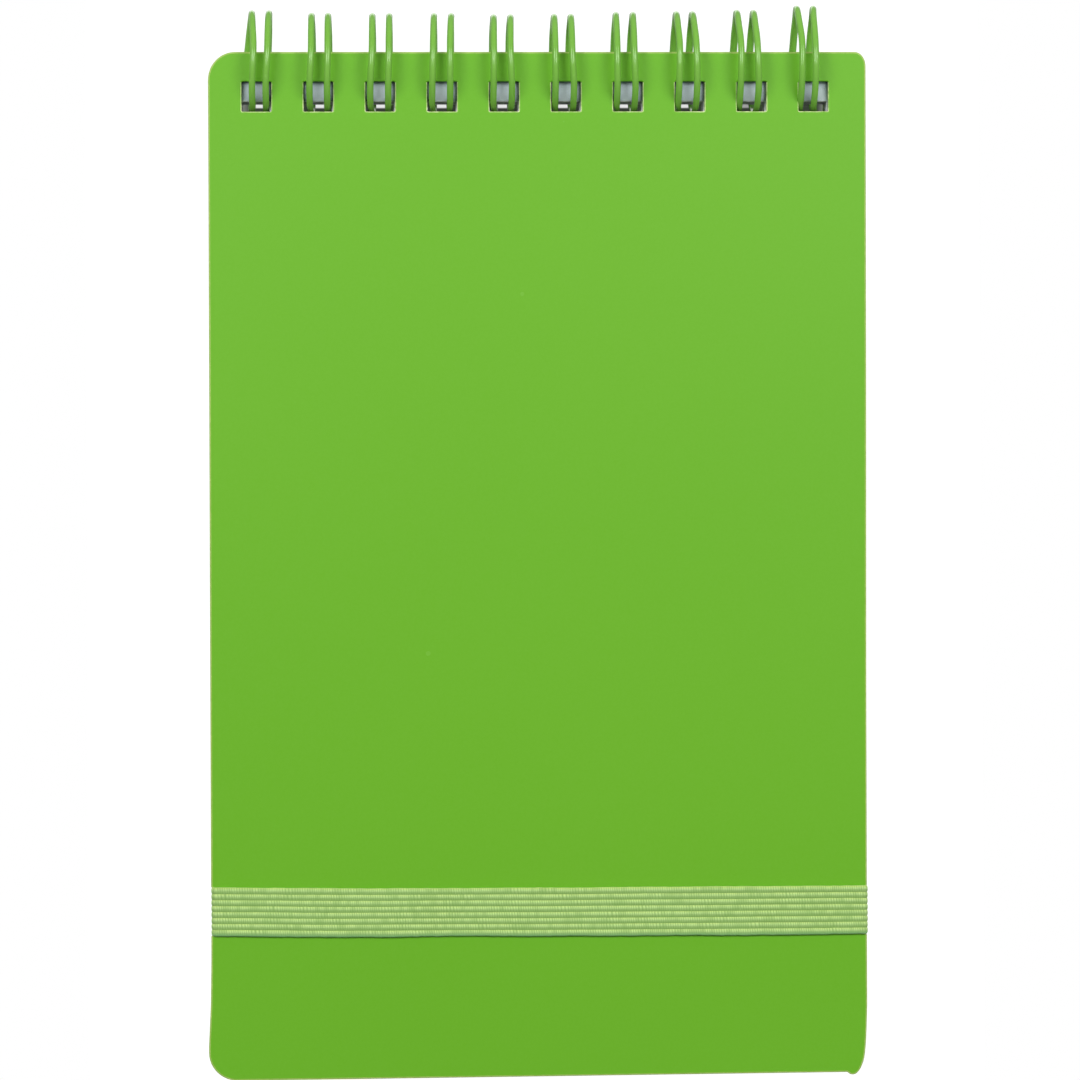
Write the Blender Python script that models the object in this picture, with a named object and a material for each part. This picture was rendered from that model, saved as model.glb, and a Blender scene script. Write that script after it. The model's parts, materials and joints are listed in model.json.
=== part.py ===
"""Pocket notebook, top-bound by a closed twin-loop wire and held shut by a flat elastic band.

Frame: the book lies on its rear cover. The origin is the centre of the rear cover's outer face,
+Y runs towards the binding, +Z out of the front cover, +X to the reader's right. Metres.
Every leaf and the front cover turn about the wire ring's own centre line.
"""

import math

import bmesh
import bpy

MM = 0.001

# Covers
COVER_W = 90.0
COVER_H = 140.0
COVER_T = 0.8
COVER_R = 3.9
FRONT_Z = 6.0  # inner face of the front cover
REAR_DROP = 0.25  # the rear cover hangs this much lower on the wire than the front one

# Punching: one row of square holes at three to the inch
HOLES = 10
HOLE_PITCH = 25.4 / 3
HOLE_W = 4.05
HOLE_H = 4.1
HOLE_SHIFT = -0.3  # the whole row sits this far left of the middle
COVER_HOLE_TOP = 66.1

# Twin-loop wire
WIRE_D = 0.9
RING_R = 6.5  # centre line of the wire
RING_Y = 68.5
RING_Z = 2.7
COMB_PITCH = 8.39
LOOP_HALF = 1.1  # half the distance between the two wires of one loop
SEAM = 200.0  # degrees round the ring from +Z towards +Y: the bars behind the rear cover
TIP = 551.0  # the closed ends of the loops, one turn on, tucked beside the bars
RING_STEP = 20.0

# Leaves
LEAVES = 32
LEAF_W = 87.0
LEAF_H = 135.5
LEAF_R = 3.5
LEAF_T = 0.1
LEAF_Z0 = 1.5
LEAF_Z1 = 5.95
LEAF_MARGIN = 3.0  # paper above the holes
PUNCH_PLAY = 0.1  # from the wire to the top of the top leaf's holes

# Elastic band
BAND_W = 6.7
BAND_Y = -47.6
BAND_T = 0.5
BAND_GAP = 0.1
PINCH = 0.6  # how far the covers' long edges are set in where the band goes round them
SLOT_X0 = 38.1
SLOT_X1 = 39.2
SLOT_H = 7.3

BAND_Z1 = FRONT_Z + COVER_T + BAND_GAP + BAND_T
LEG_X0 = COVER_W / 2 - PINCH + BAND_GAP
LEG_X1 = LEG_X0 + BAND_T


def clear_scene():
    for obj in list(bpy.data.objects):
        bpy.data.objects.remove(obj, do_unlink=True)


def new_collection(name):
    found = bpy.data.collections.new(name)
    bpy.context.scene.collection.children.link(found)
    return found


def material(name, colour, roughness):
    mat = bpy.data.materials.new(name)
    mat.use_nodes = True
    shader = mat.node_tree.nodes["Principled BSDF"]
    shader.inputs["Base Color"].default_value = (*colour, 1.0)
    shader.inputs["Roughness"].default_value = roughness
    shader.inputs["Metallic"].default_value = 0.0
    return mat


def arc(cx, cy, radius, start, end, steps):
    """Points along a circular arc, in degrees, both ends included."""
    return [
        (
            cx + radius * math.cos(math.radians(start + (end - start) * n / steps)),
            cy + radius * math.sin(math.radians(start + (end - start) * n / steps)),
        )
        for n in range(steps + 1)
    ]


def rounded_sheet(width, low, high, radius, steps, pinch=0.0, pinch_y=0.0):
    """The outline of a sheet with round corners, its long sides set in where the band passes."""
    x, r = width / 2, radius
    near, far = BAND_W / 2 + 0.2, BAND_W / 2 + 1.4
    left = [(-x + pinch, pinch_y + near), (-x + pinch, pinch_y - near)]
    left = [(-x, pinch_y + far)] + left + [(-x, pinch_y - far)] if pinch else []
    right = [(-px, py) for px, py in reversed(left)]
    return (
        arc(x - r, high - r, r, 0, 90, steps)
        + arc(-x + r, high - r, r, 90, 180, steps)
        + left
        + arc(-x + r, low + r, r, 180, 270, steps)
        + arc(x - r, low + r, r, 270, 360, steps)
        + right
    )


def hole_centres():
    first = HOLE_SHIFT - HOLE_PITCH * (HOLES - 1) / 2
    return [first + HOLE_PITCH * n for n in range(HOLES)]


def square_holes(top):
    return [
        [
            (x - HOLE_W / 2, top),
            (x + HOLE_W / 2, top),
            (x + HOLE_W / 2, top - HOLE_H),
            (x - HOLE_W / 2, top - HOLE_H),
        ]
        for x in hole_centres()
    ]


def flat_piece(name, outlines, thickness, z0, mat, home, pivot):
    """A flat sheet cut from 2D outlines, the first the outside and the others holes, with its
    origin at pivot (y, z)."""
    data = bpy.data.curves.new(name, "CURVE")
    data.dimensions = "2D"
    data.fill_mode = "BOTH"
    data.extrude = thickness / 2 * MM
    for outline in outlines:
        spline = data.splines.new("POLY")
        spline.points.add(len(outline) - 1)
        for point, (x, y) in zip(spline.points, outline):
            point.co = (x * MM, (y - pivot[0]) * MM, 0.0, 1.0)
        spline.use_cyclic_u = True
    curve = bpy.data.objects.new(name + "_outline", data)
    bpy.context.scene.collection.objects.link(curve)
    bpy.context.view_layer.update()
    mesh = bpy.data.meshes.new_from_object(
        curve.evaluated_get(bpy.context.evaluated_depsgraph_get())
    )
    bpy.data.objects.remove(curve, do_unlink=True)
    mesh.name = name
    lift = (z0 + thickness / 2 - pivot[1]) * MM
    shape = bmesh.new()
    shape.from_mesh(mesh)
    bmesh.ops.remove_doubles(shape, verts=shape.verts, dist=1e-6)
    bmesh.ops.translate(shape, verts=shape.verts, vec=(0.0, 0.0, lift))
    bmesh.ops.recalc_face_normals(shape, faces=shape.faces)
    shape.to_mesh(mesh)
    shape.free()
    obj = bpy.data.objects.new(name, mesh)
    obj.location = (0.0, pivot[0] * MM, pivot[1] * MM)
    obj.data.materials.clear()
    obj.data.materials.append(mat)
    home.objects.link(obj)
    return obj


def wire_reach(z):
    """(nearest, furthest) from the ring's centre, along a sheet at height z, that the wire
    reaches where it crosses the sheet."""
    across = math.sqrt(RING_R**2 - (z - RING_Z) ** 2)
    half = WIRE_D / 2 * RING_R / across
    return across - half, across + half


def leaf_hole_top():
    """The leaves lie squared up in one block, hung on the wire by the top leaf's holes."""
    return RING_Y - wire_reach(LEAF_Z1)[0] + PUNCH_PLAY


def on_ring(x, degrees):
    angle = math.radians(degrees)
    return (
        x * MM,
        RING_R * math.sin(angle) * MM,
        RING_R * math.cos(angle) * MM,
    )


def ring_points(x, start, end):
    steps = max(1, round(abs(end - start) / RING_STEP))
    return [on_ring(x, start + (end - start) * n / steps) for n in range(steps + 1)]


def wire_path():
    """One wire: up each loop, round its closed end, back down and along a bar to the next."""
    bend = 0.8  # radius where a loop leaves its bar
    bend_deg = math.degrees(bend / RING_R)
    tip_deg = math.degrees(LOOP_HALF / RING_R)
    first = HOLE_SHIFT - 0.05 - COMB_PITCH * (HOLES - 1) / 2
    points = []
    for n in range(HOLES):
        middle = first + COMB_PITCH * n
        left, right = middle - LOOP_HALF, middle + LOOP_HALF
        points.append(on_ring(left - bend, SEAM))
        points.append(on_ring(left - bend * 0.3, SEAM + bend_deg * 0.3))
        points += ring_points(left, SEAM + bend_deg, TIP - tip_deg)
        for k in range(1, 5):
            turn = math.radians(36 * k)
            points.append(
                on_ring(
                    middle - LOOP_HALF * math.cos(turn),
                    TIP - tip_deg + tip_deg * math.sin(turn),
                )
            )
        points += ring_points(right, TIP - tip_deg, SEAM + bend_deg)
        points.append(on_ring(right + bend * 0.3, SEAM + bend_deg * 0.3))
        points.append(on_ring(right + bend, SEAM))
    return points


def make_wire(mat, home):
    data = bpy.data.curves.new("twin_loop_wire", "CURVE")
    data.dimensions = "3D"
    data.bevel_depth = WIRE_D / 2 * MM
    data.bevel_resolution = 1
    data.use_fill_caps = True
    path = wire_path()
    spline = data.splines.new("POLY")
    spline.points.add(len(path) - 1)
    for point, co in zip(spline.points, path):
        point.co = (*co, 1.0)
    data.materials.append(mat)
    obj = bpy.data.objects.new("twin_loop_wire", data)
    obj.location = (0.0, RING_Y * MM, RING_Z * MM)
    home.objects.link(obj)
    return obj


def ribbon(name, centre_line, mat, home):
    """A flat strip, BAND_W wide along Y, that follows a path of right angles in XZ."""
    half = BAND_T / 2
    side = []
    for sign in (1, -1):
        line = []
        for n, (x, z) in enumerate(centre_line):
            before = centre_line[max(n - 1, 0)]
            after = centre_line[min(n + 1, len(centre_line) - 1)]
            ox = oz = 0.0
            for (ax, az), (bx, bz) in (((before), (x, z)), ((x, z), (after))):
                length = math.hypot(bx - ax, bz - az)
                if length:
                    nx, nz = -(bz - az) / length, (bx - ax) / length
                    ox, oz = (ox + nx if not math.isclose(ox, nx) else ox), (
                        oz + nz if not math.isclose(oz, nz) else oz
                    )
            line.append((x + sign * half * ox, z + sign * half * oz))
        side.append(line)
    outline = side[0] + side[1][::-1]
    shape = bmesh.new()
    rows = [
        [
            shape.verts.new((x * MM, (BAND_Y + end * BAND_W / 2) * MM, z * MM))
            for x, z in outline
        ]
        for end in (-1, 1)
    ]
    count = len(centre_line)
    total = len(outline)
    for k in range(total):
        shape.faces.new((rows[0][k], rows[0][(k + 1) % total], rows[1][(k + 1) % total], rows[1][k]))
    for row in rows:
        for k in range(count - 1):
            shape.faces.new((row[k], row[k + 1], row[total - 2 - k], row[total - 1 - k]))
    bmesh.ops.recalc_face_normals(shape, faces=shape.faces)
    mesh = bpy.data.meshes.new(name)
    shape.to_mesh(mesh)
    shape.free()
    mesh.materials.append(mat)
    obj = bpy.data.objects.new(name, mesh)
    home.objects.link(obj)
    return obj


def band_slots():
    return [
        [
            (sign * SLOT_X0, BAND_Y + SLOT_H / 2),
            (sign * SLOT_X1, BAND_Y + SLOT_H / 2),
            (sign * SLOT_X1, BAND_Y - SLOT_H / 2),
            (sign * SLOT_X0, BAND_Y - SLOT_H / 2),
        ]
        for sign in (-1, 1)
    ]


def main():
    clear_scene()
    book = new_collection("pocket_notebook")
    green = material("rear_cover_plastic", (0.166, 0.462, 0.032), 0.38)
    front_green = material("front_cover_plastic", (0.172, 0.474, 0.034), 0.36)
    wire_green = material("wire_coating", (0.27, 0.52, 0.12), 0.3)
    elastic = material("elastic_weave", (0.42, 0.66, 0.22), 0.8)
    elastic_back = material("elastic_weave_inner", (0.42, 0.66, 0.22), 0.8)
    paper = material("paper", (0.86, 0.86, 0.84), 0.85)

    hinge = (RING_Y, RING_Z)
    low, high = -COVER_H / 2, COVER_H / 2
    flat_piece(
        "rear_cover",
        [rounded_sheet(COVER_W, low - REAR_DROP, high - REAR_DROP, COVER_R, 5, PINCH, BAND_Y)]
        + square_holes(COVER_HOLE_TOP - REAR_DROP)
        + band_slots(),
        COVER_T,
        0.0,
        green,
        book,
        (0.0, 0.0),
    )
    flat_piece(
        "front_cover",
        [rounded_sheet(COVER_W, low, high, COVER_R, 5, PINCH, BAND_Y)]
        + square_holes(COVER_HOLE_TOP),
        COVER_T,
        FRONT_Z,
        front_green,
        book,
        hinge,
    )
    pitch = (LEAF_Z1 - LEAF_Z0 - LEAF_T) / (LEAVES - 1)
    top = leaf_hole_top()
    edge = top + LEAF_MARGIN
    for n in range(LEAVES):
        z0 = LEAF_Z1 - LEAF_T - pitch * n
        flat_piece(
            f"leaf_{n + 1:02d}",
            [rounded_sheet(LEAF_W, edge - LEAF_H, edge, LEAF_R, 2)] + square_holes(top),
            LEAF_T,
            z0,
            paper,
            book,
            hinge,
        )
    make_wire(wire_green, book)

    # The band is one loop: its run over the front cover and down both sides, and the rest of
    # it, tucked round the rear cover's edges and through two slots to lie inside the cover.
    top = BAND_Z1 - BAND_T / 2
    leg = LEG_X0 + BAND_T / 2
    under = -BAND_GAP - BAND_T / 2
    inside = COVER_T + 0.08 + BAND_T / 2
    through = (SLOT_X0 + SLOT_X1) / 2
    ribbon(
        "elastic_band_front",
        [(-leg, 0.4), (-leg, top), (leg, top), (leg, 0.4)],
        elastic,
        book,
    )
    ribbon(
        "elastic_band_rear",
        [
            (-leg, 0.3),
            (-leg, under),
            (-through, under),
            (-through, inside),
            (through, inside),
            (through, under),
            (leg, under),
            (leg, 0.3),
        ],
        elastic_back,
        book,
    )


main()
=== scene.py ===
"""Pocket notebook: moulded covers, twin-loop wire, leaves and elastic band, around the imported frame."""

import json
import math

import bmesh
import bpy
import numpy as np
from mathutils import Matrix, Quaternion, Vector


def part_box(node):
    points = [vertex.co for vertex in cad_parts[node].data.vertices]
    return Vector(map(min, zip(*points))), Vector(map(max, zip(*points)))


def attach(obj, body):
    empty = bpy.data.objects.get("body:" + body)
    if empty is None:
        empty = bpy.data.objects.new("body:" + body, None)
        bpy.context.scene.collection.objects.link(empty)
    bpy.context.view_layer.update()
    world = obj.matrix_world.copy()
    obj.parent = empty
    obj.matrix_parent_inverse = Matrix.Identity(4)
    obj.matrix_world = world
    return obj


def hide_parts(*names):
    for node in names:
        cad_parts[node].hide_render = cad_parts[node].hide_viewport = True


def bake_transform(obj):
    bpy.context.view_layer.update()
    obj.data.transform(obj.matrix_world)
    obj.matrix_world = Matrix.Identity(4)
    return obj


MM = 0.001
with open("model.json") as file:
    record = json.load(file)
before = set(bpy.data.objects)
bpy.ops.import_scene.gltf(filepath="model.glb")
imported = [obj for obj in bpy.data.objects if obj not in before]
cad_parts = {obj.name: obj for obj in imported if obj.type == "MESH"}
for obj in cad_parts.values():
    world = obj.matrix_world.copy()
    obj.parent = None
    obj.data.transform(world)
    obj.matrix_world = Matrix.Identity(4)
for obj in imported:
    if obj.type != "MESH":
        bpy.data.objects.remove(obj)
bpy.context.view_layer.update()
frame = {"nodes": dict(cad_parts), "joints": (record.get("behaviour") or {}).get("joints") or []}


def node_box(name):
    low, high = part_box(name)
    return low / MM, high / MM


FRONT_LOW, FRONT_HIGH = node_box("front_cover")
REAR_LOW, REAR_HIGH = node_box("rear_cover")
BAND_LOW, BAND_HIGH = node_box("elastic_band_front")
COVER_T = FRONT_HIGH.z - FRONT_LOW.z
HALF_W = FRONT_HIGH.x
PIVOT = next(j for j in frame["joints"] if j["name"] == "cover_turn")["pos_m"]
RING_Y, RING_Z = PIVOT[1] / MM, PIVOT[2] / MM
WIRE_LOW, WIRE_HIGH = node_box("twin_loop_wire")
WIRE_R = 0.45
RING_R = WIRE_HIGH.y - RING_Y - WIRE_R
BAND_Y = (BAND_LOW.y + BAND_HIGH.y) / 2
BAND_W = BAND_HIGH.y - BAND_LOW.y

HOLES = 10
HOLE_PITCH = 25.4 / 3
HOLE_W, HOLE_H = 4.05, 4.1
HOLE_SHIFT = -0.3
HOLE_TOP = FRONT_HIGH.y - 3.9
HOLE_X = [HOLE_SHIFT + HOLE_PITCH * (n - (HOLES - 1) / 2) for n in range(HOLES)]
SLOT_X0, SLOT_X1, SLOT_H = 38.1, 39.2, 7.3
LEAF_MARGIN = 3.0
LEAF_HALF = node_box("leaf_01")[1].x

rng = np.random.default_rng(7)


# ---------------------------------------------------------------- materials


class Nodes:
    """A node material, with a short way to add and join nodes."""

    def __init__(self, name):
        self.material = bpy.data.materials.new(name)
        self.material.use_nodes = True
        self.tree = self.material.node_tree
        self.shader = self.tree.nodes["Principled BSDF"]
        self.out = self.tree.nodes["Material Output"]
        self.coord = self.tree.nodes.new("ShaderNodeTexCoord").outputs["Object"]

    def set(self, node, **values):
        for key, value in values.items():
            socket = node.inputs[key.replace("_", " ")]
            if isinstance(value, bpy.types.NodeSocket):
                self.tree.links.new(value, socket)
            else:
                socket.default_value = value
        return node

    def add(self, kind, **values):
        return self.set(self.tree.nodes.new("ShaderNode" + kind), **values)

    def stretch(self, scale, source=None):
        node = self.add("Mapping", Vector=source or self.coord)
        node.inputs["Scale"].default_value = scale
        return node.outputs["Vector"]

    def noise(self, scale, detail=3.0, roughness=0.5, source=None):
        return self.add("TexNoise", Vector=source or self.coord, Scale=scale, Detail=detail, Roughness=roughness).outputs["Fac"]

    def ramp(self, fac, *stops):
        node = self.add("ValToRGB", Fac=fac)
        band = node.color_ramp
        while len(band.elements) < len(stops):
            band.elements.new(0.5)
        for element, (place, colour) in zip(band.elements, stops):
            element.position = place
            element.color = colour if len(colour) == 4 else (*colour, 1.0)
        return node.outputs["Color"]

    def grey(self, fac, *stops):
        return self.ramp(fac, *[(place, (value, value, value)) for place, value in stops])

    def maths(self, operation, a, b=0.0, c=0.0):
        node = self.tree.nodes.new("ShaderNodeMath")
        node.operation = operation
        for socket, value in zip(node.inputs, (a, b, c)):
            if isinstance(value, bpy.types.NodeSocket):
                self.tree.links.new(value, socket)
            else:
                socket.default_value = value
        return node.outputs["Value"]

    def rising(self, value, start, stop):
        """0 at start and 1 at stop, held outside them."""
        node = self.add("MapRange", Value=value)
        node.inputs["From Min"].default_value = start
        node.inputs["From Max"].default_value = stop
        return node.outputs["Result"]

    def mix(self, fac, a, b, blend="MIX"):
        node = self.tree.nodes.new("ShaderNodeMix")
        node.data_type = "RGBA"
        node.blend_type = blend
        for socket, value in zip((node.inputs[0], node.inputs[6], node.inputs[7]), (fac, a, b)):
            if isinstance(value, bpy.types.NodeSocket):
                self.tree.links.new(value, socket)
            else:
                socket.default_value = (*value, 1.0) if isinstance(value, tuple) and len(value) == 3 else value
        return node.outputs[2]

    def bump(self, height, distance, strength=1.0):
        node = self.add("Bump", Height=height, Strength=strength, Distance=distance)
        self.tree.links.new(node.outputs["Normal"], self.shader.inputs["Normal"])


def cover_plastic(name, base, low, high):
    """Moulded polypropylene: a satin face with a very fine grain and a few faint handling marks."""
    m = Nodes(name)
    cloud = m.noise(18.0, 2.0, 0.4)
    colour = m.mix(cloud, low, high)
    fine = m.noise(2600.0, 2.0, 0.55)
    colour = m.mix(m.grey(fine, (0.3, 0.0), (0.75, 0.045)), colour, (0.30, 0.62, 0.10))
    dots = m.add("TexVoronoi", Vector=m.coord, Scale=62.0)
    marks = m.maths("LESS_THAN", dots.outputs["Distance"], 0.022)
    colour = m.mix(m.maths("MULTIPLY", marks, 0.10), colour, (0.42, 0.72, 0.2))
    scratch = m.noise(90.0, 4.0, 0.7, m.stretch((14.0, 0.7, 1.0)))
    scratch_mask = m.grey(scratch, (0.66, 0.0), (0.74, 1.0))
    rough = m.maths("ADD", m.maths("MULTIPLY", fine, 0.10), 0.40)
    rough = m.maths("SUBTRACT", rough, m.maths("MULTIPLY", scratch_mask, 0.05))
    m.set(m.shader, Base_Color=colour, Roughness=rough)
    m.shader.inputs["Specular IOR Level"].default_value = 0.36
    height = m.maths("ADD", m.maths("MULTIPLY", fine, 0.7), m.maths("MULTIPLY", m.noise(420.0, 2.0), 0.6))
    m.bump(height, 0.00002, 0.35)
    return m.material


def rim_plastic(name, base, pale):
    """The cut edge of the cover, paler: partly stress-whitened by the die and partly a painted glow of light through
    the translucent plastic.
    """
    m = Nodes(name)
    shear = m.noise(1500.0, 3.0, 0.6, m.stretch((1.0, 1.0, 0.25)))
    colour = m.mix(m.grey(shear, (0.35, 0.0), (0.7, 1.0)), base, pale)
    m.set(m.shader, Base_Color=colour, Roughness=0.5)
    m.shader.inputs["Specular IOR Level"].default_value = 0.35
    m.bump(shear, 0.00004, 0.5)
    return m.material


def wire_coating():
    """Nylon-coated steel wire: glossy, a little uneven along its length, with a painted glint at its outermost turn."""
    m = Nodes("wire_coating")
    length = m.noise(260.0, 3.0, 0.5)
    colour = m.mix(length, (0.165, 0.425, 0.048), (0.210, 0.480, 0.070))
    speck = m.noise(2400.0, 2.0, 0.6)
    colour = m.mix(m.grey(speck, (0.62, 0.0), (0.8, 0.2)), colour, (0.42, 0.68, 0.25))
    rough = m.maths("ADD", m.maths("MULTIPLY", m.noise(900.0, 3.0), 0.16), 0.13)
    m.set(m.shader, Base_Color=colour, Roughness=rough)
    m.shader.inputs["Specular IOR Level"].default_value = 0.40
    m.shader.inputs["Coat Weight"].default_value = 0.12
    m.shader.inputs["Coat Roughness"].default_value = 0.12
    height = m.maths("ADD", m.maths("MULTIPLY", m.noise(700.0, 3.0), 1.0), m.maths("MULTIPLY", speck, 0.25))
    m.bump(height, 0.00003, 0.35)
    # A painted glint: the coating glows white in the outermost turn, where the wire faces away from the book, standing
    # in for the bright table's reflection there.
    facing = m.add("SeparateXYZ", Vector=m.tree.nodes.new("ShaderNodeNewGeometry").outputs["Normal"])
    painted_glint = m.maths("MULTIPLY", m.rising(facing.outputs["Z"], 0.42, 0.28), m.rising(facing.outputs["Z"], -0.40, -0.15))
    painted_glint = m.maths("MULTIPLY", painted_glint, m.rising(facing.outputs["Y"], 0.50, 0.85))
    m.set(m.shader, Emission_Color=(1.0, 1.0, 0.97, 1.0), Emission_Strength=m.maths("MULTIPLY", painted_glint, 0.48))
    return m.material


def elastic_weave():
    """Covered rubber cords side by side, the yarn wrapping each rib, with painted shade on each rib's lower half and in
    the groove below it and painted light on its upper half.
    """
    m = Nodes("elastic_weave")
    rib = m.add("Attribute")
    rib.attribute_name = "rib"
    thread = m.add("Attribute")
    thread.attribute_name = "thread"
    across, along = rib.outputs["Fac"], thread.outputs["Fac"]
    # painted light and shade across each rib: dark at its lower edge, bright on its upper half and top edge, as if lit
    # from above
    colour = m.ramp(
        across,
        (0.0, (0.215, 0.390, 0.075)),
        (0.14, (0.270, 0.445, 0.120)),
        (0.42, (0.315, 0.500, 0.155)),
        (0.58, (0.490, 0.700, 0.255)),
        (0.84, (0.560, 0.770, 0.265)),
        (1.0, (0.560, 0.700, 0.140)),
    )
    colour = m.mix(m.grey(along, (0.0, 0.85), (0.7, 0.0)), colour, (0.20, 0.38, 0.08))
    # the lower half of the bottom rib is tinted bluish green
    bottom_rib_tint = m.add("Attribute")
    bottom_rib_tint.attribute_name = "bottom_rib_tint"
    colour = m.mix(m.maths("MULTIPLY", bottom_rib_tint.outputs["Fac"], 0.8), colour, (0.20, 0.50, 0.20))
    fuzz = m.noise(5200.0, 3.0, 0.7, m.stretch((1.0, 0.35, 1.0)))
    colour = m.mix(m.grey(fuzz, (0.3, 0.22), (0.55, 0.0)), colour, (0.25, 0.44, 0.12))
    colour = m.mix(m.grey(fuzz, (0.6, 0.0), (0.85, 0.3)), colour, (0.72, 0.88, 0.48))
    drift = m.noise(160.0, 2.0)
    colour = m.mix(m.maths("MULTIPLY", drift, 0.25), colour, (0.40, 0.66, 0.25))
    m.set(m.shader, Base_Color=colour, Roughness=0.82)
    m.shader.inputs["Specular IOR Level"].default_value = 0.2
    m.shader.inputs["Sheen Weight"].default_value = 0.12
    m.shader.inputs["Sheen Roughness"].default_value = 0.4
    m.bump(fuzz, 0.00005, 0.6)
    return m.material


def page_paper(name, top):
    """Uncoated notepaper with faint feint-ruled lines on both faces and fibres in the sheet. Inside
    its holes the top page gets painted shade from an ambient-occlusion ramp. Of the pages under it
    only the sides of the holes show there, so those sides get a flat painted shade and their faces are plain."""
    m = Nodes(name)
    fibre = m.noise(900.0, 4.0, 0.65)
    colour = m.mix(fibre, (0.79, 0.81, 0.83), (0.87, 0.88, 0.89))
    place = m.add("SeparateXYZ", Vector=m.coord)
    wrapped = m.maths("MODULO", m.maths("ADD", place.outputs["Y"], 1.0), 0.007)
    line = m.maths("LESS_THAN", m.maths("ABSOLUTE", m.maths("SUBTRACT", wrapped, 0.0035)), 0.00011)
    below = m.maths("LESS_THAN", place.outputs["Y"], 0.0515)
    above = m.maths("GREATER_THAN", place.outputs["Y"], -0.0655)
    line = m.maths("MULTIPLY", line, m.maths("MULTIPLY", below, above))
    line = m.maths("MULTIPLY", line, m.maths("LESS_THAN", m.maths("ABSOLUTE", place.outputs["X"]), LEAF_HALF * MM - 0.0003))
    line = m.maths("MULTIPLY", line, m.grey(m.noise(1600.0, 2.0), (0.2, 0.55), (0.7, 0.9)))
    colour = m.mix(line, colour, (0.42, 0.52, 0.66))
    inside = m.maths("MULTIPLY", m.rising(place.outputs["Y"], 0.0575, 0.0605), m.rising(m.maths("ABSOLUTE", place.outputs["X"]), 0.0425, 0.0410))
    m.shader.inputs["Specular IOR Level"].default_value = 0.25
    if not top:
        # painted shade: inside the hole strip, the sides of these pages are coloured a flat dark grey
        facing = m.add("SeparateXYZ", Vector=m.tree.nodes.new("ShaderNodeTexCoord").outputs["Normal"])
        side = m.maths("LESS_THAN", m.maths("ABSOLUTE", facing.outputs["Z"]), 0.5)
        m.set(m.shader, Base_Color=m.mix(m.maths("MULTIPLY", inside, side), colour, (0.09, 0.11, 0.12)), Roughness=0.86)
        return m.material
    # painted shade: inside the hole strip, the top page's colour is multiplied by a dark ramp of ambient occlusion
    depth = m.add("AmbientOcclusion", Distance=0.004)
    shade = m.ramp(depth.outputs["AO"], (0.0, (0.02, 0.025, 0.03)), (0.26, (0.10, 0.12, 0.13)), (0.48, (0.52, 0.60, 0.65)), (0.72, (0.80, 0.87, 0.90)), (0.92, (1.0, 1.0, 1.0)))
    colour = m.mix(inside, colour, m.mix(1.0, colour, shade, "MULTIPLY"))
    m.set(m.shader, Base_Color=colour, Roughness=0.86)
    m.bump(fibre, 0.00003, 0.4)
    return m.material


GREEN_LOW, GREEN_HIGH = (0.131, 0.430, 0.007), (0.142, 0.446, 0.010)
front_plastic = cover_plastic("front_cover_plastic", None, GREEN_LOW, GREEN_HIGH)
rear_plastic = cover_plastic("rear_cover_plastic", None, (0.120, 0.420, 0.007), (0.130, 0.438, 0.010))
outer_rim = rim_plastic("cover_outer_rim", (0.30, 0.49, 0.080), (0.40, 0.56, 0.130))
punched_rim = rim_plastic("punched_rim", (0.30, 0.54, 0.10), (0.78, 0.88, 0.42))
coating = wire_coating()
weave = elastic_weave()
top_paper = page_paper("top_page_paper", True)
paper = page_paper("page_paper", False)


# ---------------------------------------------------------------- sheets


def arc(cx, cy, rx, ry, start, steps):
    """A quarter of an ellipse, from start degrees, counter-clockwise."""
    return [
        (cx + rx * math.cos(math.radians(start + 90 * k / steps)), cy + ry * math.sin(math.radians(start + 90 * k / steps)))
        for k in range(steps + 1)
    ]


def sheet_outline(half, low, high, radii, steps, inset=0.0, notch=None, corner=None):
    """Counter-clockwise outline with its own radii at each corner: (rx, ry) top right, top left,
    bottom left, bottom right. A notch (y, half height, depth) is set into both long sides, and
    corner gives the bottom right corner point by point instead."""
    x, lo, hi = half - inset, low + inset, high - inset
    (ax, ay), (bx, by), (cx, cy), (dx, dy) = [(max(rx - inset, 0.05), max(ry - inset, 0.05)) for rx, ry in radii]
    side = []
    if notch:
        at, reach, depth = notch
        ease = 0.12
        for k in range(7):
            t = k / 6
            side.append((depth * (3 * t * t - 2 * t**3), at + reach + ease * (1 - t) - inset * t))
        side += [(depth, at + reach * f) for f in (0.5, 0.0, -0.5)]
        for k in range(6, -1, -1):
            t = k / 6
            side.append((depth * (3 * t * t - 2 * t**3), at - reach - ease * (1 - t) + inset * t))
    return (
        arc(x - ax, hi - ay, ax, ay, 0, steps)
        + arc(-x + bx, hi - by, bx, by, 90, steps)
        + [(-x + d, y) for d, y in side]
        + arc(-x + cx, lo + cy, cx, cy, 180, steps)
        + (set_in(corner, inset) if corner else arc(x - dx, lo + dy, dx, dy, 270, steps))
        + [(x - d, y) for d, y in reversed(side)]
    )


def set_in(points, inset):
    """An open run of points moved to its left by inset."""
    points = np.asarray(points, float)
    run = np.gradient(points, axis=0)
    run /= np.linalg.norm(run, axis=1)[:, None]
    return [tuple(p) for p in points + inset * np.stack([-run[:, 1], run[:, 0]], axis=1)]


def opening(x0, x1, y0, y1, radius, steps, grow=0.0):
    """A rounded rectangular opening, grown on every side."""
    x0, x1, y0, y1, r = x0 - grow, x1 + grow, y0 - grow, y1 + grow, radius + grow
    return (
        arc(x1 - r, y1 - r, r, r, 0, steps)
        + arc(x0 + r, y1 - r, r, r, 90, steps)
        + arc(x0 + r, y0 + r, r, r, 180, steps)
        + arc(x1 - r, y0 + r, r, r, 270, steps)
    )


def punched(top, steps, grow=0.0, radius=0.28):
    return [opening(x - HOLE_W / 2, x + HOLE_W / 2, top - HOLE_H, top, radius, steps, grow) for x in HOLE_X]


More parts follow.
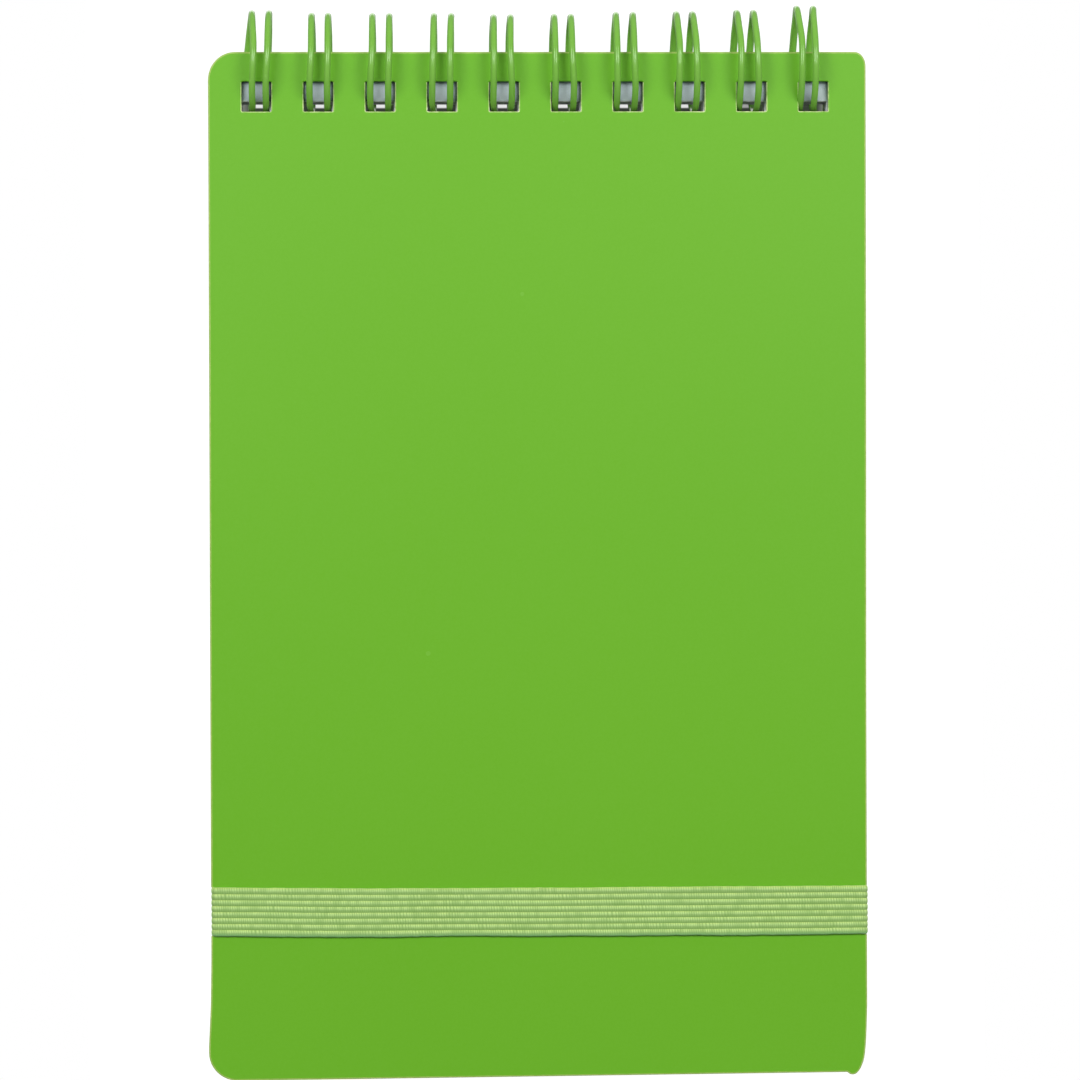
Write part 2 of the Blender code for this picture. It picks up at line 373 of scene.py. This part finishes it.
def filled(loops):
    """The flat face between the first loop and the others, as a bmesh in millimetres."""
    data = bpy.data.curves.new("fill", "CURVE")
    data.dimensions = "2D"
    data.fill_mode = "BOTH"
    for loop in loops:
        spline = data.splines.new("POLY")
        spline.points.add(len(loop) - 1)
        for point, (x, y) in zip(spline.points, loop):
            point.co = (x, y, 0.0, 1.0)
        spline.use_cyclic_u = True
    curve = bpy.data.objects.new("fill", data)
    bpy.context.scene.collection.objects.link(curve)
    bpy.context.view_layer.update()
    mesh = bpy.data.meshes.new_from_object(curve.evaluated_get(bpy.context.evaluated_depsgraph_get()))
    bpy.data.objects.remove(curve, do_unlink=True)
    bpy.data.curves.remove(data)
    shape = bmesh.new()
    shape.from_mesh(mesh)
    bpy.data.meshes.remove(mesh)
    bmesh.ops.remove_doubles(shape, verts=shape.verts, dist=1e-4)
    for face in shape.faces:
        if face.normal.z < 0:
            face.normal_flip()
    return shape


def cut(shape, axis, places):
    for place in places:
        bmesh.ops.bisect_plane(
            shape,
            geom=shape.verts[:] + shape.edges[:] + shape.faces[:],
            dist=1e-4,
            plane_co=(place if axis == 0 else 0, place if axis == 1 else 0, 0),
            plane_no=(1, 0, 0) if axis == 0 else (0, 1, 0),
        )


def thicken(shape, profile, rim_of, narrow_of=None):
    """Closes a flat face into a solid: profile is (outwards, z) from the face's own border to the
    border of its copy below, and rim_of gives the material index from a border edge's middle."""
    caps = list(shape.faces)
    borders = [edge for edge in shape.edges if len(edge.link_faces) == 1]
    directed, normals = [], {}
    for edge in borders:
        loop = edge.link_loops[0]
        a, b = loop.vert, loop.link_loop_next.vert
        run = (b.co - a.co).normalized()
        out = Vector((run.y, -run.x, 0.0))
        directed.append((a, b))
        normals.setdefault(a, []).append(out)
        normals.setdefault(b, []).append(out)
    base = {v: v.co.copy() for v in normals}
    miter = {v: sum(found, Vector()) / (1 + found[0].dot(found[-1])) for v, found in normals.items()}
    if narrow_of:
        miter = {v: push * narrow_of(base[v]) for v, push in miter.items()}
    current = {v: v for v in normals}
    for out, z in profile:
        fresh = {v: shape.verts.new(base[v] + miter[v] * out + Vector((0, 0, z))) for v in normals}
        for a, b in directed:
            face = shape.faces.new((current[b], current[a], fresh[a], fresh[b]))
            face.material_index = rim_of((base[a] + base[b]) / 2) if out > 0.02 else 0
        current = fresh
    depth = profile[-1][1]
    under = {}
    for cap in caps:
        for v in cap.verts:
            if v not in under:
                under[v] = current[v] if v in current else shape.verts.new(v.co + Vector((0, 0, depth)))
    for cap in caps:
        face = shape.faces.new([under[v] for v in reversed(cap.verts[:])])
        face.material_index = cap.material_index


def round_edge(edge, thickness, hold=0.06, steps=4):
    """Over a rounded edge, down the wall and round again, ending under the start."""
    rows = [(hold, 0.0)]
    for k in range(1, steps + 1):
        a = math.pi / 2 * k / steps
        rows.append((hold + edge * math.sin(a), -edge * (1 - math.cos(a))))
    for k in range(steps, 0, -1):
        a = math.pi / 2 * k / steps
        rows.append((hold + edge * math.sin(a), -thickness + edge * (1 - math.cos(a))))
    rows.append((hold, -thickness))
    rows.append((0.0, -thickness))
    return rows


def finished(name, shape, materials, shift=(0, 0, 0), form=None, smooth=True):
    for vert in shape.verts:
        if form:
            form(vert.co)
        vert.co = (vert.co + Vector(shift)) * MM
    mesh = bpy.data.meshes.new(name)
    shape.normal_update()
    shape.to_mesh(mesh)
    shape.free()
    for material in materials:
        mesh.materials.append(material)
    if smooth:
        mesh.shade_smooth()
    else:
        mesh.shade_flat()
    obj = bpy.data.objects.new(name, mesh)
    bpy.context.scene.collection.objects.link(obj)
    return obj


RIM_SHARE = 0.6  # the punched openings have a sharper edge than the outline


def make_cover(name, low, high, radii, openings, form, faces, corner=None):
    edge, hold = 0.16, 0.06
    inset = edge + hold
    notch = (BAND_Y, BAND_W / 2 + 0.02, 0.46)
    loops = [sheet_outline(HALF_W, low, high, radii, 12, inset, notch, corner)]
    loops += [o(inset * RIM_SHARE) for o in openings]
    shape = filled(loops)
    cut(shape, 0, np.arange(-42, 43, 6.0) + 0.37)
    cut(shape, 1, np.arange(-66, 61, 6.0) + 0.41)

    def rim_of(middle):
        inside = abs(middle.x) < HALF_W - 2.0 and low + 2.0 < middle.y < high - 2.0
        if not inside:
            return 1
        # The top edge of each opening keeps the face colour, not the pale cut-edge colour: painted shade, as that wall
        # faces away from the lamps.
        return 0 if middle.y > high - (FRONT_HIGH.y - HOLE_TOP) - 0.12 else 2

    def narrow_of(place):
        return RIM_SHARE if abs(place.x) < HALF_W - 2.0 and low + 2.0 < place.y < high - 2.0 else 1.0

    thicken(shape, round_edge(edge, COVER_T, hold), rim_of, narrow_of)
    return finished(name, shape, faces, form=form)


# The front cover's free corner at the bottom right: a small moulded nub, then a long easy curve.
FREE_CORNER = [
    (42.10, -70.00), (42.28, -70.06), (42.42, -70.20), (42.68, -70.33), (43.02, -70.37), (43.34, -70.28), (43.60, -70.08),
    (43.83, -69.82), (44.05, -69.45), (44.25, -69.00), (44.42, -68.52), (44.56, -67.95), (44.66, -67.25), (44.75, -66.40),
    (44.82, -65.40), (44.88, -64.20), (44.94, -62.60), (45.00, -60.50),
]


def front_form(co):
    """Held down by the band, the cover lifts a little towards its free edge. Its outline is a
    little out of square: the sides lean, and the free edge runs lower towards the left."""
    right = max(0.0, min(1.0, (co.x - 15.0) / 30.0))
    left = max(0.0, min(1.0, (-15.0 - co.x) / 30.0))
    co.x += right * float(np.interp(co.y, (-55, -15, 23, 57), (-0.11, -0.10, 0.0, 0.04)))
    co.x += left * float(np.interp(co.y, (-55, -15, 23, 57), (-0.04, 0.0, 0.07, 0.12)))
    free = max(0.0, min(1.0, (-57.0 - co.y) / 8.0))
    co.x -= 0.38 * left * free * free * (3 - 2 * free)
    edge = max(0.0, min(1.0, (-66.0 - co.y) / 4.0))
    hinge = max(0.0, min(1.0, (co.y - 67.0) / 3.0))
    # the left notch sits as high as the band that lies in it
    beside = max(0.0, min(1.0, (-42.5 - co.x) / 1.5)) * max(0.0, min(1.0, (5.9 - abs(co.y - BAND_Y)) / 1.9))
    co.y += 0.47 * beside
    co.y += edge * (-0.22 + 0.0046 * (co.x + 33.0)) + 0.12 * hinge
    lift = max(0.0, (BAND_Y - 4.0 - co.y) / 19.0)
    wave = max(0.0, min(1.0, (56.0 - co.y) / 25.0))
    co.z += FRONT_HIGH.z + 0.28 * lift * lift + 0.03 * wave * math.sin(co.x * 0.061 + 0.6) * math.cos(co.y * 0.043)


def rear_form(co):
    co.z += REAR_HIGH.z


def hole_row(top):
    return [
        (lambda grow, x=x: opening(x - HOLE_W / 2, x + HOLE_W / 2, top - HOLE_H, top, 0.14, 4, grow))
        for x in HOLE_X
    ]


def slot_pair():
    return [
        (lambda grow, s=s: opening(min(s * SLOT_X0, s * SLOT_X1), max(s * SLOT_X0, s * SLOT_X1), BAND_Y - SLOT_H / 2, BAND_Y + SLOT_H / 2, 0.3, 4, grow))
        for s in (-1, 1)
    ]


front = make_cover(
    "front_cover_moulded", FRONT_LOW.y, FRONT_HIGH.y,
    [(1.5, 1.9), (3.7, 3.7), (3.9, 3.6), (2.6, 4.8)],
    hole_row(HOLE_TOP), front_form, [front_plastic, outer_rim, punched_rim], FREE_CORNER,
)
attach(front, "cover")
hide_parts("front_cover")
rear = make_cover(
    "rear_cover_moulded", REAR_LOW.y, REAR_HIGH.y,
    [(3.9, 3.9)] * 4,
    hole_row(HOLE_TOP + REAR_HIGH.y - FRONT_HIGH.y) + slot_pair(), rear_form, [rear_plastic, outer_rim, punched_rim],
)
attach(rear, "base")
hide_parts("rear_cover")

leaves = sorted(name for name in frame["nodes"] if name.startswith("leaf_"))
for name in leaves:
    low, high = node_box(name)
    sideways, along = rng.uniform(-0.14, 0.14), rng.uniform(-0.10, 0.02)
    top = high.y - LEAF_MARGIN
    shape = filled([sheet_outline(high.x, low.y, high.y, [(3.5, 3.5)] * 4, 8)] + punched(top, 2, 0.0, 0.18))
    thicken(shape, [(0.0, low.z - high.z)], lambda middle: 0)
    sheet = finished("page_" + name[-2:], shape, [top_paper if name == "leaf_01" else paper], (sideways, along, high.z), smooth=False)
    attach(sheet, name)
    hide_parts(name)


# ---------------------------------------------------------------- wire

# Where each loop sits: the middle between its two wires and half their spacing, in millimetres,
# at the front cover (degrees 324 round the ring), over the top (381), at the outermost point
# (450) and behind (527), and how far the loop is pulled out at its outermost point.
LOOPS = [
    ((-37.94, 0.92), (-37.66, 0.96), (-37.80, 1.19), (-38.40, 1.42), 0.84),
    ((-29.86, 1.19), (-29.66, 1.12), (-29.66, 1.13), (-29.66, 1.14), 0.50),
    ((-21.58, 1.22), (-21.37, 1.15), (-21.30, 1.16), (-21.30, 1.15), 0.45),
    ((-13.14, 1.22), (-13.06, 1.16), (-12.82, 1.18), (-12.80, 1.15), 0.46),
    ((-4.75, 1.25), (-4.84, 1.13), (-4.68, 1.16), (-4.66, 1.14), 0.29),
    ((3.71, 1.25), (3.54, 1.15), (3.64, 1.15), (3.66, 1.14), 0.36),
    ((12.13, 1.22), (12.00, 1.16), (12.17, 1.17), (12.20, 1.14), 0.63),
    ((20.55, 1.23), (20.52, 1.14), (20.42, 1.11), (20.44, 1.12), 0.73),
    ((28.97, 1.23), (28.89, 1.12), (28.81, 1.15), (28.86, 1.14), 0.93),
    ((37.03, 0.93), (37.03, 0.91), (37.09, 1.15), (37.15, 1.16), 1.51),
]
SEAM, TIP = 200.0, 551.0
COMB = [-0.35 + 8.39 * (n - (HOLES - 1) / 2) for n in range(HOLES)]


def smooth_through(places, values, x):
    """A cubic curve through the values that never overshoots them."""
    places, values = np.asarray(places, float), np.asarray(values, float)
    rates = np.diff(values) / np.diff(places)
    slopes = np.zeros(len(values))
    level = rates[1:] * rates[:-1] <= 0
    slopes[1:-1] = np.where(level, 0.0, 2 * rates[1:] * rates[:-1] / np.where(level, 1.0, rates[1:] + rates[:-1]))
    k = np.clip(np.searchsorted(places, x) - 1, 0, len(places) - 2)
    h = places[k + 1] - places[k]
    t = np.clip((x - places[k]) / h, 0.0, 1.0)
    return (
        (1 + 2 * t) * (1 - t) ** 2 * values[k]
        + t * (1 - t) ** 2 * h * slopes[k]
        + t * t * (3 - 2 * t) * values[k + 1]
        + t * t * (t - 1) * h * slopes[k + 1]
    )


def wire_path():
    bend, tip = 0.8, 1.1
    bend_deg, tip_deg = math.degrees(bend / RING_R), math.degrees(tip / RING_R)
    path = []

    def put(x, degrees, pull=0.0):
        lift = pull * math.exp(-(((degrees - 450) / 62) ** 2))
        angle = math.radians(degrees)
        path.append((x, RING_Y + (RING_R + lift) * math.sin(angle), RING_Z + (RING_R + 0.25 * lift) * math.cos(angle)))

    for n, (at_hole, over, outer, behind, pull) in enumerate(LOOPS):
        places = [SEAM, 262, 300, 324, 381, 415, 450, 482, 505, 527, TIP - tip_deg]
        near = [outer[k] + 0.7 * (behind[k] - outer[k]) for k in (0, 1)]
        upper = [(over[k] + outer[k]) / 2 for k in (0, 1)]
        lower = [(near[k] + outer[k]) / 2 for k in (0, 1)]
        lean = 0.03 * max(0, n - 4)  # the loops towards the right lie flatter against themselves
        middles = [COMB[n], COMB[n], at_hole[0], at_hole[0], over[0], upper[0] - lean, outer[0], lower[0] + 1.2 * lean, near[0] + 0.8 * lean, behind[0], COMB[n]]
        halves = [tip, tip, at_hole[1], at_hole[1], over[1], upper[1], outer[1], lower[1], near[1], behind[1], tip]
        run = np.linspace(SEAM + bend_deg, TIP - tip_deg, 84)
        middle, half = smooth_through(places, middles, run), smooth_through(places, halves, run)
        for k in range(9):
            turn = math.pi / 2 * k / 9
            put(COMB[n] - tip - bend + bend * math.sin(turn), SEAM + bend_deg * (1 - math.cos(turn)))
        for x, degrees in zip(middle - half, run):
            put(x, degrees, pull)
        for k in range(1, 14):
            turn = math.pi * k / 14
            put(COMB[n] - tip * math.cos(turn), TIP - tip_deg + tip_deg * math.sin(turn))
        for x, degrees in zip((middle + half)[::-1], run[::-1]):
            put(x, degrees, pull)
        for k in range(8, -1, -1):
            turn = math.pi / 2 * k / 9
            put(COMB[n] + tip + bend - bend * math.sin(turn), SEAM + bend_deg * (1 - math.cos(turn)))
        if n == HOLES - 1:
            break
        start, stop = path[-1], (COMB[n + 1] - tip - bend, *path[-1][1:])
        for k in range(1, 8):
            path.append(tuple(a + (b - a) * k / 8 for a, b in zip(start, stop)))
    return np.array(path)


def tube(name, path, radii, sides, material):
    """A round wire with domed ends, swept along the path without twist."""
    steps = np.linalg.norm(np.diff(path, axis=0), axis=1)
    along = np.concatenate([[0.0], np.cumsum(steps)])
    tangents = np.gradient(path, along, axis=0)
    tangents /= np.linalg.norm(tangents, axis=1)[:, None]
    normal = Vector((0, 0, 1)).cross(Vector(tangents[0])).normalized()
    rings, before = [], Vector(tangents[0])
    angles = np.linspace(0, 2 * math.pi, sides, endpoint=False)

    def ring(centre, tangent, size):
        side = np.array(tangent.cross(normal))
        return centre + size * (np.cos(angles)[:, None] * np.array(normal) + np.sin(angles)[:, None] * side)

    for k, (centre, radius) in enumerate(zip(path, radii)):
        tangent = Vector(tangents[k])
        normal = before.rotation_difference(tangent) @ normal
        normal = (normal - tangent * normal.dot(tangent)).normalized()
        before = tangent
        if k in (0, len(path) - 1):
            sign = -1 if k == 0 else 1
            dome = [
                ring(centre + sign * 0.5 * radius * math.sin(a) * np.array(tangent), tangent, radius * math.cos(a))
                for a in (0.35, 0.75, 1.15, 1.42)
            ]
            rings += dome[::-1] + [ring(centre, tangent, radius)] if k == 0 else [ring(centre, tangent, radius)] + dome
        else:
            rings.append(ring(centre, tangent, radius))
    count = len(rings)
    verts = np.concatenate(rings) * MM
    faces = [
        (a * sides + k, a * sides + (k + 1) % sides, (a + 1) * sides + (k + 1) % sides, (a + 1) * sides + k)
        for a in range(count - 1)
        for k in range(sides)
    ]
    faces += [tuple(reversed(range(sides))), tuple(range((count - 1) * sides, count * sides))]
    mesh = bpy.data.meshes.new(name)
    mesh.from_pydata(verts.tolist(), [], faces)
    mesh.materials.append(material)
    mesh.shade_smooth()
    obj = bpy.data.objects.new(name, mesh)
    bpy.context.scene.collection.objects.link(obj)
    return obj


course = wire_path()
turned = np.degrees(np.arctan2(course[:, 1] - RING_Y, course[:, 2] - RING_Z)) % 360  # 90 is outermost
lower_run = np.clip((turned - 105) / 30, 0, 1) * np.clip((190 - turned) / 12, 0, 1)
wire = tube("twin_loop_wire_coated", course, WIRE_R + 0.06 * lower_run, 18, coating)
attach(wire, "wire")
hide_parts("twin_loop_wire")


# ---------------------------------------------------------------- elastic band

RIBS, RIB_PITCH, RIB_H = 8, 0.815, 0.13
INNER, OUTER = -0.20, 0.12  # the band's two faces from its middle, below the ribs


def band_middle():
    """The closed loop the band follows in XZ, with round corners: points, outward normals and
    whether the point is on the run over the front cover."""
    top = FRONT_HIGH.z + 0.05 - INNER
    leg = HALF_W - OUTER - RIB_H + 0.01
    under = REAR_LOW.z - 0.10 - (OUTER + RIB_H) + 0.02
    inside = REAR_HIGH.z + 0.06 + OUTER + RIB_H
    through = (SLOT_X0 + SLOT_X1) / 2
    corners = [
        (-leg, top, 0.42), (leg, top, 0.42), (leg, under, 0.4), (through, under, 0.34),
        (through, inside, 0.4), (-through, inside, 0.4), (-through, under, 0.34), (-leg, under, 0.4),
    ]
    points, normals, fine = [], [], []
    count = len(corners)
    for k in range(count):
        ax, az, ar = corners[k]
        bx, bz, br = corners[(k + 1) % count]
        cx, cz, cr = corners[(k + 2) % count]
        d = np.array((bx - ax, bz - az))
        length = np.linalg.norm(d)
        d /= length
        e = np.array((cx - bx, cz - bz))
        e /= np.linalg.norm(e)
        n, m = np.array((-d[1], d[0])), np.array((-e[1], e[0]))
        start, stop = np.array((ax, az)) + d * ar, np.array((bx, bz)) - d * br
        straight = np.linalg.norm(stop - start)
        step = 0.07 if k == 0 else 0.14 if k in (1, 7) else 0.5
        pieces = max(2, int(round(straight / step)))
        for j in range(pieces):
            points.append(start + (stop - start) * j / pieces)
            normals.append(n)
            fine.append(1.0 if k == 0 else 0.6 if k in (1, 7) else 0.0)
        clockwise = d[0] * e[1] - d[1] * e[0] < 0
        centre = stop - n * br if clockwise else stop + n * br
        for j in range(6):
            turn = math.pi / 2 * j / 6
            out = n * math.cos(turn) + m * math.sin(turn)
            points.append(centre + out * br * (1 if clockwise else -1))
            normals.append(out)
            fine.append(0.8 if k in (0, 7) else 0.3)
    return np.array(points), np.array(normals), np.array(fine)


def band_section():
    """Across the band: (place, height, rib share, rib number) round its edge and ribs, then back
    along its inner face."""
    half = BAND_W / 2
    rows = []
    for rib in range(RIBS):
        middle = (rib - (RIBS - 1) / 2) * RIB_PITCH
        for u in (-0.47, -0.40, -0.26, -0.09, 0.09, 0.26, 0.40, 0.47):
            height = math.sqrt(max(0.0, 1 - (2 * u * 0.985) ** 2))
            rows.append((middle + u * RIB_PITCH, OUTER + RIB_H * height, 0.5 + u, rib))
    rows.append((half - 0.01, OUTER - 0.05, 0.9, RIBS - 1))
    rows.append((half - 0.02, INNER + 0.08, 0.4, RIBS - 1))
    for k in range(9):
        rows.append(((half - 0.08) * (1 - k / 4), INNER, 0.5, k % 8))
    rows.append((-half + 0.02, INNER + 0.08, 0.4, 0))
    rows.append((-half + 0.01, OUTER - 0.05, 0.4, 0))
    return np.array(rows)


def wander(along, scale, seed):
    """Smooth seeded noise along the band, about one either way."""
    local = np.random.default_rng(seed)
    total = along[-1] + 2 * scale
    knots = local.uniform(-1, 1, int(total / scale) + 3)
    place = along / scale
    k = place.astype(int)
    t = place - k
    t = t * t * (3 - 2 * t)
    return knots[k] * (1 - t) + knots[k + 1] * t


# The band bows over the front cover: how far (mm) it sits above BAND_Y at each x.
BOW_X = (-45.0, -40.8, -36.7, -32.6, -27.1, -21.6, -5.0, 11.0, 22.0, 33.0, 45.0)
BOW_Y = (0.47, 0.47, 0.41, 0.32, 0.22, 0.16, 0.15, 0.09, 0.06, 0.10, 0.02)


def make_band():
    middle, normal, fine = band_middle()
    section = band_section()
    bow = np.interp(middle[:, 0], BOW_X, BOW_Y) * np.clip((middle[:, 1] - 1.6) / 4.2, 0, 1)
    gaps = np.linalg.norm(np.roll(middle, -1, axis=0) - middle, axis=1)
    along = np.concatenate([[0.0], np.cumsum(gaps)[:-1]])
    rows, cols = len(middle), len(section)
    close = np.clip(np.minimum(along, along[-1] - along) / 3.0, 0, 1)  # noise fades where the loop joins
    sway = 0.05 * wander(along, 11.0, 3) * close
    upper = (0.045 * wander(along, 7.0, 4) + 0.02 * wander(along, 0.9, 5)) * close
    lower = (0.075 * wander(along, 8.0, 6) + 0.03 * wander(along, 0.7, 8)) * close
    y = np.empty((rows, cols))
    t = np.empty((rows, cols))
    rib_value = np.empty((rows, cols))
    thread_value = np.zeros((rows, cols))
    bottom_rib_tint_value = np.zeros((rows, cols))
    for j, (place, height, share, rib) in enumerate(section):
        edge = place / (BAND_W / 2)
        shift = sway + np.where(edge > 0, edge, 0) ** 3 * upper + np.where(edge < 0, -edge, 0) ** 3 * lower
        drift = 0.02 * wander(along, 5.0, 20 + int(rib)) * close
        y[:, j] = BAND_Y + bow + place + shift + drift
        if height > OUTER:
            phase = along / 0.32 + 1.2 * wander(along, 2.2, 40 + int(rib)) + 0.37 * rib + 0.16 * share
            yarn = np.abs(np.sin(math.pi * phase))
            uneven = 0.75 + 0.35 * wander(along, 0.6, 60 + int(rib))
            relief = (height - OUTER) / RIB_H
            t[:, j] = height + fine * relief * 0.046 * (yarn * uneven - 0.6)
            thread_value[:, j] = np.clip(yarn * uneven, 0, 1)
        else:
            t[:, j] = height
            thread_value[:, j] = 0.5
        rib_value[:, j] = share
        bottom_rib_tint_value[:, j] = max(0.0, 1.0 - share / 0.55) if rib == 0 else 0.0
    x = middle[:, 0][:, None] + normal[:, 0][:, None] * t
    z = middle[:, 1][:, None] + normal[:, 1][:, None] * t
    verts = np.stack([x, y, z], axis=2).reshape(-1, 3) * MM
    i = np.arange(rows)[:, None]
    j = np.arange(cols)[None, :]
    a, b = i * cols + j, i * cols + (j + 1) % cols
    c, d = ((i + 1) % rows) * cols + (j + 1) % cols, ((i + 1) % rows) * cols + j
    quads = np.stack([a + 0 * j, d + 0 * j, c, b], axis=2).reshape(-1, 4)
    mesh = bpy.data.meshes.new("elastic_band_woven")
    mesh.from_pydata(verts.tolist(), [], quads.tolist())
    for name, values in (("rib", rib_value), ("thread", thread_value), ("bottom_rib_tint", bottom_rib_tint_value)):
        layer = mesh.attributes.new(name, "FLOAT", "POINT")
        layer.data.foreach_set("value", values.astype(np.float32).ravel())
    mesh.materials.append(weave)
    mesh.shade_smooth()
    obj = bpy.data.objects.new("elastic_band_woven", mesh)
    bpy.context.scene.collection.objects.link(obj)
    shape = bmesh.new()
    shape.from_mesh(mesh)
    if shape.calc_volume(signed=True) < 0:
        bmesh.ops.reverse_faces(shape, faces=shape.faces)
        shape.to_mesh(mesh)
    shape.free()
    return obj


band = make_band()
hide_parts("elastic_band_front", "elastic_band_rear")
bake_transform(band)


# ---------------------------------------------------------------- floor, light and camera


def pale_floor():
    """A white table with a painted shadow under the book, where its glow drops nearly to dark, and painted spots of
    light below each hole where light would fall through.
    """
    m = Nodes("pale_floor")
    m.set(m.shader, Base_Color=(0.18, 0.18, 0.18, 1.0), Roughness=1.0)
    m.shader.inputs["Specular IOR Level"].default_value = 0.0
    place = m.add("SeparateXYZ", Vector=m.coord)
    x, y = place.outputs["X"], m.maths("ADD", place.outputs["Y"], RING_Y * MM)

    def rising(value, start, stop):
        return m.rising(value, start * MM, stop * MM)

    # painted shadow: the table glows only outside the book's footprint
    beside = rising(m.maths("ABSOLUTE", x), HALF_W - 5.5, HALF_W + 0.5)
    outside = m.maths("MAXIMUM", beside, m.maths("MAXIMUM", rising(y, 66.5, 70.0), rising(m.maths("MULTIPLY", y, -1.0), 60.0, 70.0)))
    # painted light: small glowing spots on the table under the holes, fading out towards the right end
    pitch = 8.555 * MM
    nearest = m.maths("SUBTRACT", m.maths("MODULO", m.maths("ADD", x, 38.53 * MM + 20.5 * pitch), pitch), 0.5 * pitch)
    across = rising(m.maths("ABSOLUTE", nearest), 1.15, 0.85)
    along = rising(m.maths("ABSOLUTE", m.maths("SUBTRACT", y, 63.96 * MM)), 0.60, 0.42)
    through = m.maths("MULTIPLY", m.maths("MULTIPLY", across, along), rising(x, 36.0, 20.0))
    light = m.maths("MAXIMUM", outside, m.maths("MULTIPLY", through, 0.80))
    m.set(m.shader, Emission_Color=(1.0, 1.0, 1.0, 1.0))
    glossy = m.tree.nodes.new("ShaderNodeLightPath").outputs["Is Glossy Ray"]
    seen = m.maths("MULTIPLY_ADD", light, 0.94, 0.03)
    m.set(m.shader, Emission_Strength=m.maths("MULTIPLY", seen, m.maths("MULTIPLY_ADD", glossy, -0.7, 1.0)))
    return m.material


# The book rests on the wire at its back and on the band and the rear cover's free edge.
rest_a = Vector((0, RING_Y, WIRE_LOW.z - 0.02))
rest_b = Vector((0, BAND_Y - BAND_W / 2, -0.62))
slope = math.atan2(rest_b.z - rest_a.z, rest_a.y - rest_b.y)
# The table reaches a little way past the book, and the white world carries on from there, so that
# a cover swung past flat isn't cut off by it.
sheet = filled([[(62, -155), (62, 15.5), (-62, 15.5), (-62, -155)]])
table = bpy.data.meshes.new("floor")
for vert in sheet.verts:
    vert.co *= MM
sheet.to_mesh(table)
sheet.free()
table.materials.append(pale_floor())
floor = bpy.data.objects.new("floor", table)
floor.location = (0, rest_a.y * MM, rest_a.z * MM)
floor.rotation_euler = (-slope, 0, 0)
bpy.context.scene.collection.objects.link(floor)

world = bpy.data.worlds.new("studio")
bpy.context.scene.world = world
world.use_nodes = True
tree = world.node_tree
background = tree.nodes["Background"]
path_info = tree.nodes.new("ShaderNodeLightPath")
direction = tree.nodes.new("ShaderNodeSeparateXYZ")
tree.links.new(tree.nodes.new("ShaderNodeTexCoord").outputs["Generated"], direction.inputs["Vector"])


def world_maths(operation, *values):
    node = tree.nodes.new("ShaderNodeMath")
    node.operation = operation
    for socket, value in zip(node.inputs, values):
        if isinstance(value, bpy.types.NodeSocket):
            tree.links.new(value, socket)
        else:
            socket.default_value = value
    return node.outputs["Value"]


# Above, a dim room; below, the white table; to the camera, white all round.
from_table = world_maths("MULTIPLY", world_maths("LESS_THAN", direction.outputs["Z"], 0.0), world_maths("MULTIPLY_ADD", path_info.outputs["Is Glossy Ray"], -0.7, 1.0))
around = world_maths("MAXIMUM", world_maths("MULTIPLY", from_table, 0.95), 0.23)
seen = world_maths("MAXIMUM", path_info.outputs["Is Camera Ray"], around)
tree.links.new(seen, background.inputs["Strength"])
background.inputs["Color"].default_value = (1.0, 1.0, 1.0, 1.0)


def softbox(name, place, at, width, height, watts, colour=(1.0, 1.0, 1.0)):
    data = bpy.data.lights.new(name, "AREA")
    data.shape = "RECTANGLE"
    data.size, data.size_y = width, height
    data.energy = watts
    data.color = colour
    lamp = bpy.data.objects.new(name, data)
    lamp.location = place
    lamp.rotation_euler = (Vector(at) - Vector(place)).to_track_quat("-Z", "Y").to_euler()
    bpy.context.scene.collection.objects.link(lamp)
    return lamp


softbox("key_left", (-0.30, 0.24, 0.50), (0, 0.04, 0), 0.26, 0.36, 2.16)
softbox("key_right", (0.30, 0.24, 0.50), (0, 0.04, 0), 0.26, 0.36, 2.10)

camera_data = bpy.data.cameras.new("camera")
camera = bpy.data.objects.new("camera", camera_data)
bpy.context.scene.collection.objects.link(camera)
camera_data.sensor_width = 36.0
camera_data.lens = 136.56
camera.location = (-0.022, 0.012, FRONT_HIGH.z * MM + 0.560)
aim = Vector((0.000118, 0.003443, FRONT_HIGH.z * MM))
forward = (aim - camera.location).normalized()
roll = math.radians(0.237)
right = forward.cross(Vector((math.sin(roll), math.cos(roll), 0.0))).normalized()
up = right.cross(forward)
camera.rotation_euler = Matrix((right, up, -forward)).transposed().to_euler()
bpy.context.scene.camera = camera

bpy.context.scene.view_settings.view_transform = "Standard"
bpy.context.scene.view_settings.look = "None"

bpy.context.view_layer.update()
